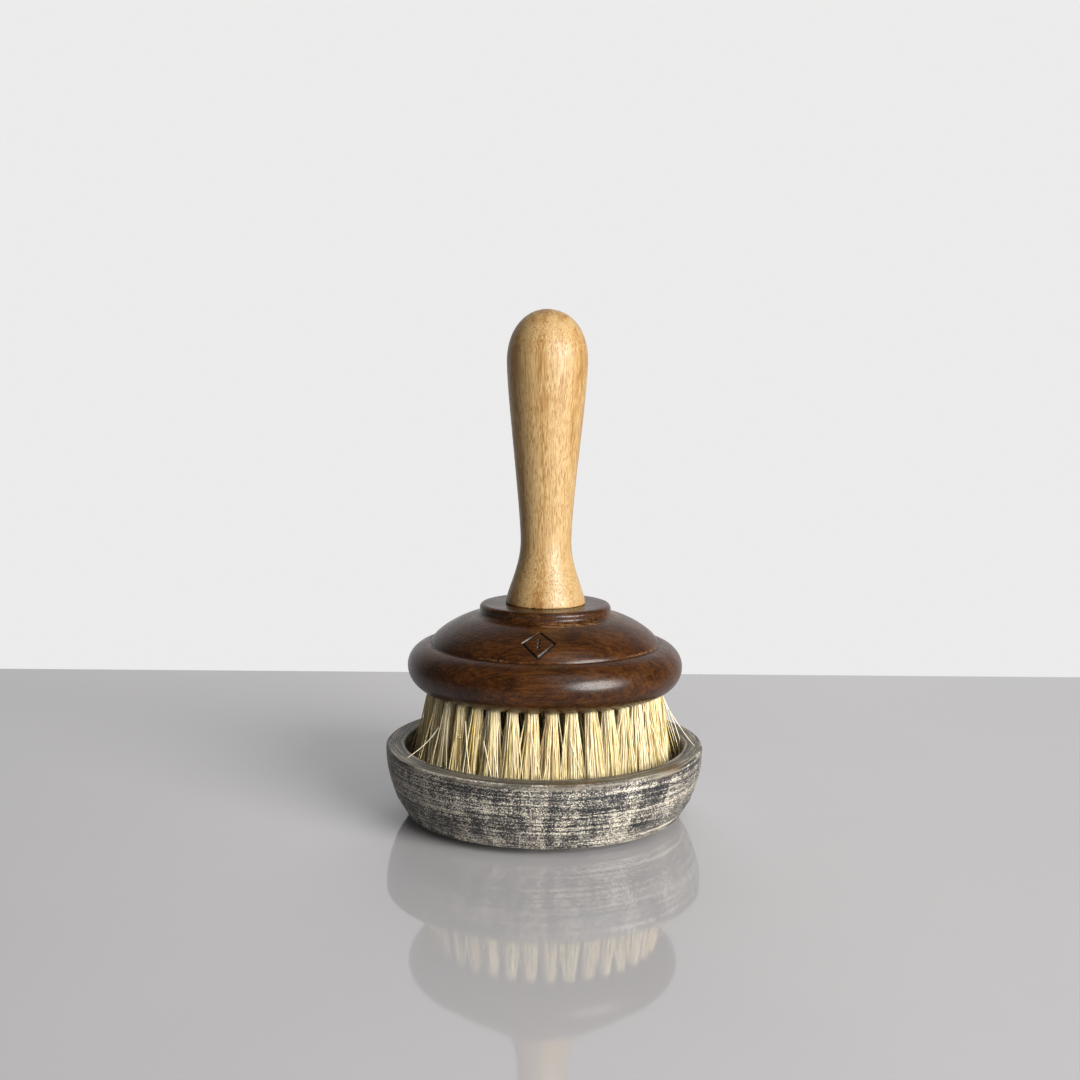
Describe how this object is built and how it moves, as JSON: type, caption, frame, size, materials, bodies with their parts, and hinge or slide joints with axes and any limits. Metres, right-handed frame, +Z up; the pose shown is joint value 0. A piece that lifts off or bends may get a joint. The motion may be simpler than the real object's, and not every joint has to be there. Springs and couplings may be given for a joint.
{
  "type": "beard brush",
  "caption": "Round beard brush with a turned upright handle, a domed dark wood head and plant-fibre tufts, standing in a shallow round stone rest dish.",
  "frame": {"origin": "centre of the rest dish's flat underside, on the surface that it stands on", "axes": "+Z up along the handle; +X and +Y are alike on the turned parts, and the outer ring's first tuft stands 1.5 degrees round from +X towards -Y"},
  "size_m": [0.1002, 0.1002, 0.1593],
  "materials": {
    "handle_wood": "satin",
    "head_wood": "satin",
    "bristle": "matte",
    "anchor_steel": "satin",
    "dish_stone": "matte"
  },
  "bodies": {
    "rest_dish": {"dish": "dish_stone"},
    "brush": {"head_block": "head_wood", "handle": "handle_wood", "tuft_outer_01": "bristle", "tuft_outer_02": "bristle", "tuft_outer_03": "bristle", "tuft_outer_04": "bristle", "tuft_outer_05": "bristle", "tuft_outer_06": "bristle", "tuft_outer_07": "bristle", "tuft_outer_08": "bristle", "tuft_outer_09": "bristle", "tuft_outer_10": "bristle", "tuft_outer_11": "bristle", "tuft_outer_12": "bristle", "tuft_outer_13": "bristle", "tuft_outer_14": "bristle", "tuft_outer_15": "bristle", "tuft_outer_16": "bristle", "tuft_outer_17": "bristle", "tuft_outer_18": "bristle", "tuft_outer_19": "bristle", "tuft_outer_20": "bristle", "tuft_outer_21": "bristle", "tuft_outer_22": "bristle", "tuft_outer_23": "bristle", "tuft_outer_24": "bristle", "tuft_outer_25": "bristle", "tuft_outer_26": "bristle", "tuft_outer_27": "bristle", "tuft_outer_28": "bristle", "tuft_outer_29": "bristle", "tuft_outer_30": "bristle", "tuft_outer_31": "bristle", "tuft_outer_32": "bristle", "tuft_outer_33": "bristle", "tuft_outer_34": "bristle", "tuft_outer_35": "bristle", "tuft_outer_36": "bristle", "tuft_outer_37": "bristle", "tuft_outer_38": "bristle", "tuft_centre": "bristle", "tufts_ring_1": "bristle", "tufts_ring_2": "bristle", "tufts_ring_3": "bristle", "tufts_ring_4": "bristle", "tufts_ring_5": "bristle", "anchor_centre": "anchor_steel", "anchors_ring_1": "anchor_steel", "anchors_ring_2": "anchor_steel", "anchors_ring_3": "anchor_steel", "anchors_ring_4": "anchor_steel", "anchors_ring_5": "anchor_steel", "anchors_ring_6": "anchor_steel"}
  },
  "joints": [
    {"name": "brush_lift", "type": "slide", "parent": "rest_dish", "child": "brush", "axis": [0, 0, 1], "range_m": [0, 0.06]}
  ]
}
